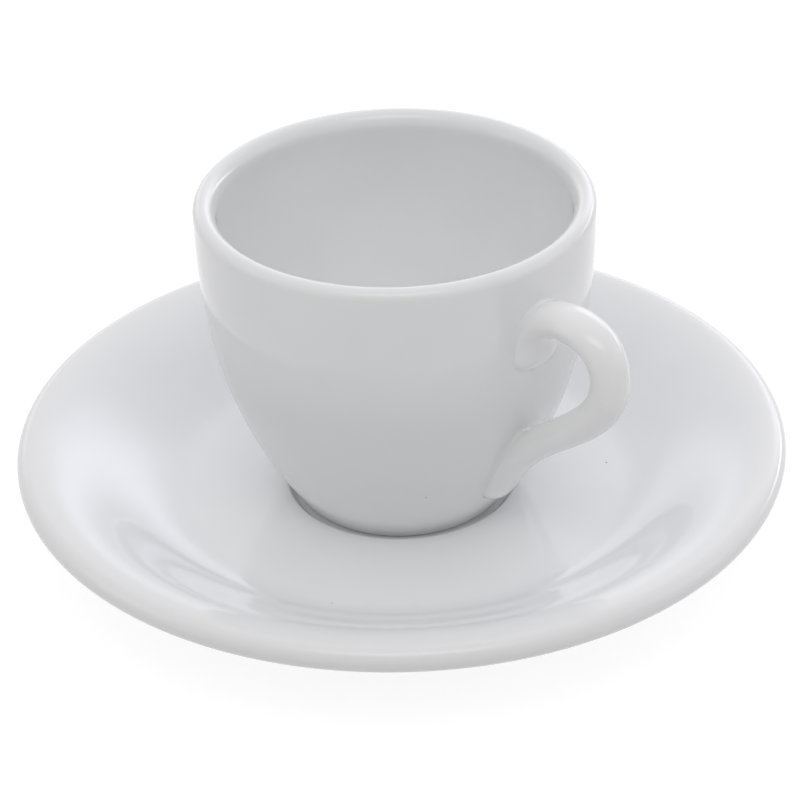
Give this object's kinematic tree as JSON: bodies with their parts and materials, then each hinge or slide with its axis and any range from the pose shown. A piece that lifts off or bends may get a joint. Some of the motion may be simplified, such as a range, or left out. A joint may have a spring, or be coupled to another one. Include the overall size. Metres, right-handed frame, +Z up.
{
  "type": "espresso cup with saucer",
  "caption": "Small white porcelain espresso cup with a swelling bowl and a looped handle, standing in the shallow seat of a round dished saucer; the cup lifts off.",
  "frame": {"origin": "centre of the plane that the saucer's foot ring stands on, under the common axis of saucer and cup", "axes": "+Z up along the axis of cup and saucer, +X towards the cup's handle"},
  "size_m": [0.122, 0.122, 0.0598],
  "materials": {
    "saucer_glaze": "clear gloss glaze over white porcelain, foot ring left matt",
    "cup_glaze": "clear gloss glaze over white porcelain, foot ring left matt",
    "seam_glaze": "clear gloss glaze over fired clay slip"
  },
  "bodies": {
    "saucer": {"saucer": "saucer_glaze"},
    "cup": {"cup_bowl": "cup_glaze", "cup_handle": "cup_glaze", "upper_slip_seam": "seam_glaze", "lower_slip_seam": "seam_glaze"}
  },
  "joints": [
    {"name": "cup_lift", "type": "slide", "parent": "saucer", "child": "cup", "axis": [0, 0, 1], "range_m": [0, 0.06]}
  ]
}
